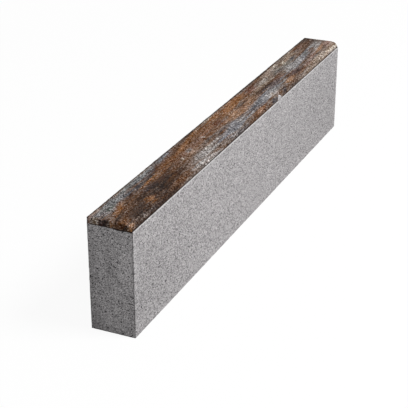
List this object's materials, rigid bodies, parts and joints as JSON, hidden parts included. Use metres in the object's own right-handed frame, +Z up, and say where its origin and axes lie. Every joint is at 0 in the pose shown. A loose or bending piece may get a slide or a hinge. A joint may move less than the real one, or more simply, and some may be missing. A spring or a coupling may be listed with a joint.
{
  "type": "concrete kerb stone",
  "caption": "Straight concrete garden kerb stone with a rounded top edge on its path side and a pressed facing of mottled coloured mix; edges a path, lawn or paved area.",
  "frame": {"origin": "middle of the bed, the flat underside that the stone stands on", "axes": "+X along the stone from butt end to butt end, +Y across it from the path side with the rounded edge to the back, +Z up from the bed to the top"},
  "size_m": [1, 0.08, 0.2],
  "materials": {
    "concrete": "pressed grey concrete, matt and finely pitted, under a facing of colour mix in rust, brown, blue-grey and beige"
  },
  "bodies": {
    "root": {"kerb_stone": "concrete"}
  },
  "joints": []
}
